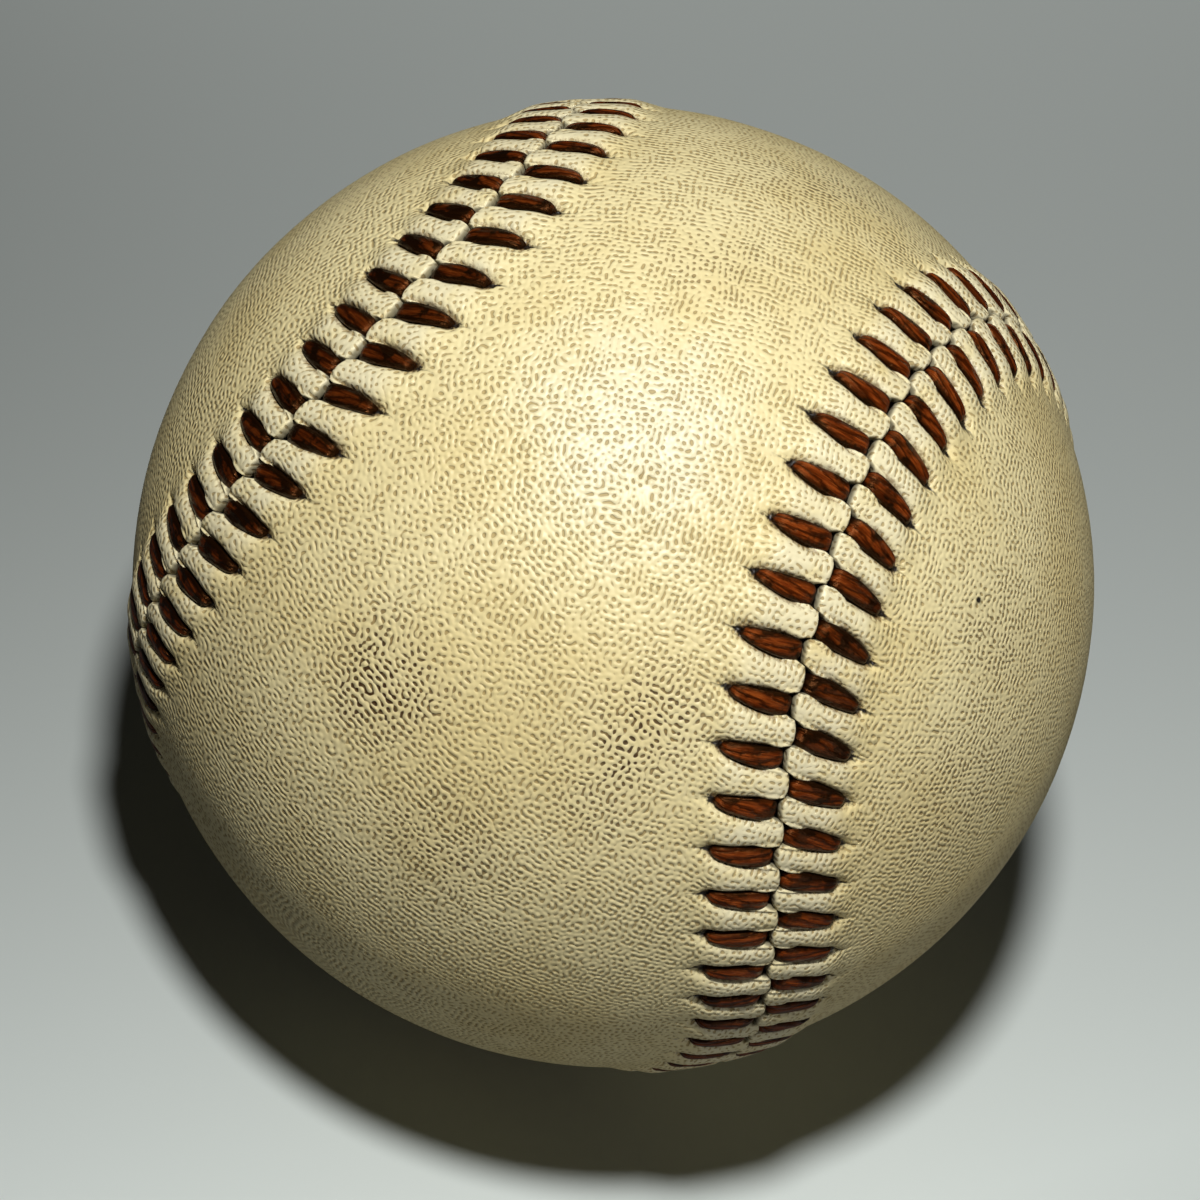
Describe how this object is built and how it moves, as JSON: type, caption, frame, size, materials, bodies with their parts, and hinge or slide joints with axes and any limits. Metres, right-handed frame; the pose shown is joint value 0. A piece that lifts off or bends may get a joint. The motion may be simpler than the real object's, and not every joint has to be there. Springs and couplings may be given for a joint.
{
  "type": "baseball",
  "caption": "Hard ball with a cork and rubber core, wound wool layers and two leather cover panels sewn edge to edge with waxed thread.",
  "frame": {"origin": "the ball's centre", "axes": "+Z through the middle of the upper panel's neck, where smooth leather is on top; +X and +Y out through the seam, so the seam crosses both axes at both ends"},
  "size_m": [0.0752, 0.0752, 0.0738],
  "materials": {
    "composition_cork": "granulated cork bound with rubber",
    "black_rubber": "moulded, matte",
    "gasket_rubber": "moulded, matte",
    "red_rubber": "moulded, matte",
    "gray_wool": "tightly wound wool yarn",
    "white_wool": "tightly wound wool yarn",
    "cotton_yarn": "fine finishing yarn under rubber cement",
    "cover_leather": "aged off-white cowhide with dark pores and grime",
    "waxed_thread": "dark red waxed cotton, pulled flat"
  },
  "bodies": {
    "root": {"cork_core": "composition_cork", "shell_half_upper": "black_rubber", "shell_half_lower": "black_rubber", "shell_gasket": "gasket_rubber", "red_rubber_layer": "red_rubber", "wool_winding_first": "gray_wool", "wool_winding_second": "white_wool", "wool_winding_third": "gray_wool", "finish_winding": "cotton_yarn", "cover_panel_upper": "cover_leather", "cover_panel_lower": "cover_leather", "sewing_thread": "waxed_thread"}
  },
  "joints": []
}
